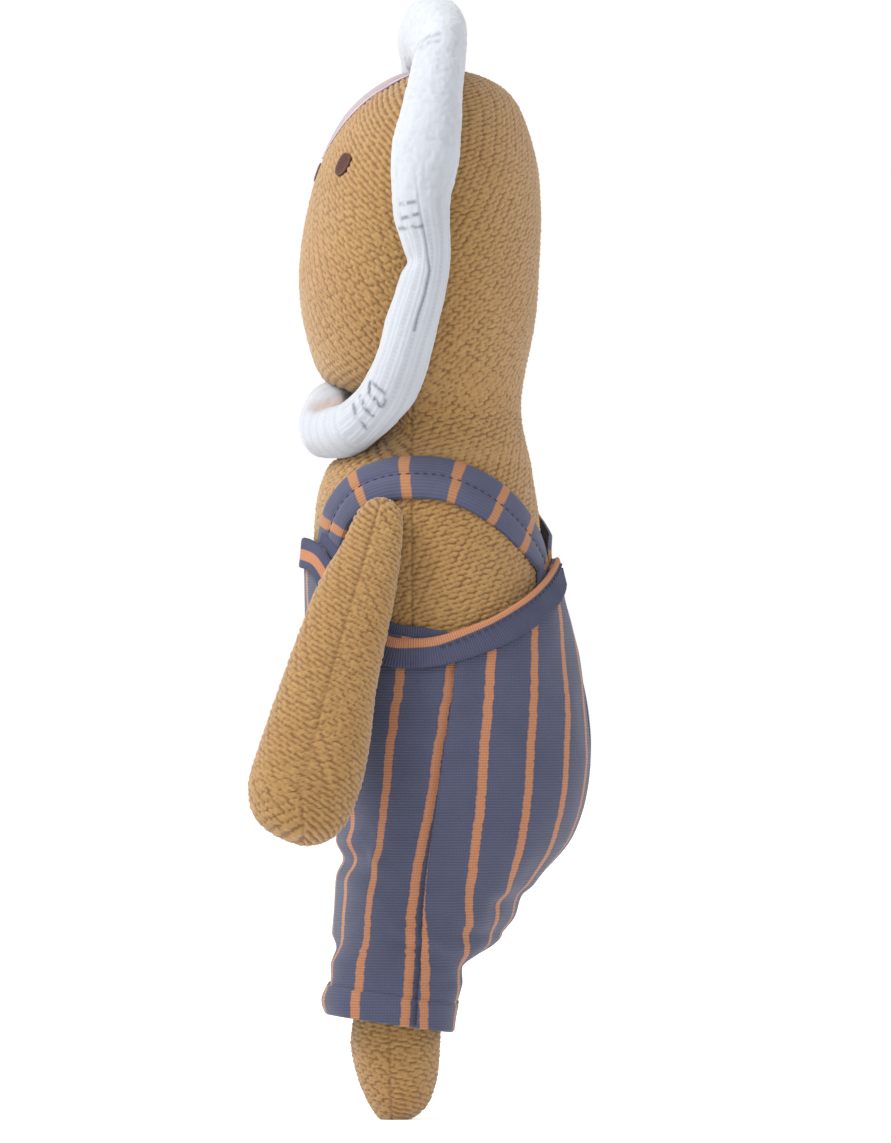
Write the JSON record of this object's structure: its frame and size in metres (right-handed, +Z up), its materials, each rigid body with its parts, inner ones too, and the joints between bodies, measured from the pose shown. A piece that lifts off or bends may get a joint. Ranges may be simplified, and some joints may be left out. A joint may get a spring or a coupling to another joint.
{
  "type": "plush toy",
  "caption": "Slim knitted plush lion standing in striped dungarees, with a stuffed ribbed ring for a mane and a head, arms and legs that move at their seams.",
  "frame": {"origin": "on the ground under the middle of the toy's bounding box", "axes": "+Z up, -Y the way the lion faces, +X its left side"},
  "size_m": [0.1318, 0.1057, 0.3505],
  "materials": {
    "tan_knit": "chunky tan knit with small raised slanting stitches, matt",
    "fibre_filling": "white polyester fibre filling, not seen",
    "white_rib_knit": "white ribbed knit, matt, with short grey stitch marks",
    "blaze_cloth": "short smooth pale pink cloth, matt",
    "brown_thread": "dark brown embroidery thread, satin",
    "seam_thread": "tan sewing thread drawn tight",
    "slate_jersey": "blue grey jersey with narrow orange stripes, matt"
  },
  "bodies": {
    "torso": {"torso_front_panel": "tan_knit", "torso_back_panel": "tan_knit", "torso_stuffing": "fibre_filling", "dungarees_front_panel": "slate_jersey", "dungarees_back_panel": "slate_jersey", "left_armhole_binding": "slate_jersey", "right_armhole_binding": "slate_jersey", "left_strap": "slate_jersey", "right_strap": "slate_jersey"},
    "neck": {"neck_skin": "tan_knit", "neck_stuffing": "fibre_filling"},
    "head": {"face_panel": "tan_knit", "head_back_panel": "tan_knit", "head_stuffing": "fibre_filling", "mane_sleeve": "white_rib_knit", "mane_filling": "fibre_filling", "forehead_blaze": "blaze_cloth", "nose": "brown_thread", "left_eye": "brown_thread", "right_eye": "brown_thread"},
    "left_shoulder": {"left_shoulder_seam": "seam_thread"},
    "left_arm": {"left_arm_front_panel": "tan_knit", "left_arm_back_panel": "tan_knit", "left_arm_stuffing": "fibre_filling"},
    "left_leg": {"left_leg_front_panel": "tan_knit", "left_leg_back_panel": "tan_knit", "left_leg_stuffing": "fibre_filling", "left_trouser_leg": "slate_jersey"},
    "right_shoulder": {"right_shoulder_seam": "seam_thread"},
    "right_arm": {"right_arm_front_panel": "tan_knit", "right_arm_back_panel": "tan_knit", "right_arm_stuffing": "fibre_filling"},
    "right_leg": {"right_leg_front_panel": "tan_knit", "right_leg_back_panel": "tan_knit", "right_leg_stuffing": "fibre_filling", "right_trouser_leg": "slate_jersey"}
  },
  "joints": [
    {"name": "neck_turn", "type": "hinge", "parent": "torso", "child": "neck", "pos_m": [0, 0.008, 0.216], "axis": [0, 0, 1], "range_deg": [-20, 20], "stiffness_Nm_per_rad": 0.2},
    {"name": "head_nod", "type": "hinge", "parent": "neck", "child": "head", "pos_m": [0, 0.008, 0.216], "axis": [1, 0, 0], "range_deg": [-15, 3], "stiffness_Nm_per_rad": 0.2, "deforming": ["neck_skin"]},
    {"name": "left_arm_swing", "type": "hinge", "parent": "torso", "child": "left_shoulder", "pos_m": [0.0377, -0.0125, 0.1865], "axis": [-1, 0, 0], "range_deg": [-12, 75], "stiffness_Nm_per_rad": 0.02},
    {"name": "left_arm_lift", "type": "hinge", "parent": "left_shoulder", "child": "left_arm", "pos_m": [0.0377, -0.0125, 0.1924], "axis": [0, -1, 0], "range_deg": [0, 80], "stiffness_Nm_per_rad": 0.02},
    {"name": "left_hip_swing", "type": "hinge", "parent": "torso", "child": "left_leg", "pos_m": [0.019, -0.0053, 0.052], "axis": [-1, 0, 0], "range_deg": [-25, 60], "stiffness_Nm_per_rad": 0.12, "deforming": ["left_trouser_leg"]},
    {"name": "right_arm_swing", "type": "hinge", "parent": "torso", "child": "right_shoulder", "pos_m": [-0.0377, -0.0125, 0.1865], "axis": [-1, 0, 0], "range_deg": [-12, 75], "stiffness_Nm_per_rad": 0.02},
    {"name": "right_arm_lift", "type": "hinge", "parent": "right_shoulder", "child": "right_arm", "pos_m": [-0.0377, -0.0125, 0.1924], "axis": [0, 1, 0], "range_deg": [0, 80], "stiffness_Nm_per_rad": 0.02},
    {"name": "right_hip_swing", "type": "hinge", "parent": "torso", "child": "right_leg", "pos_m": [-0.019, -0.0053, 0.052], "axis": [-1, 0, 0], "range_deg": [-25, 60], "stiffness_Nm_per_rad": 0.12, "deforming": ["right_trouser_leg"]}
  ]
}
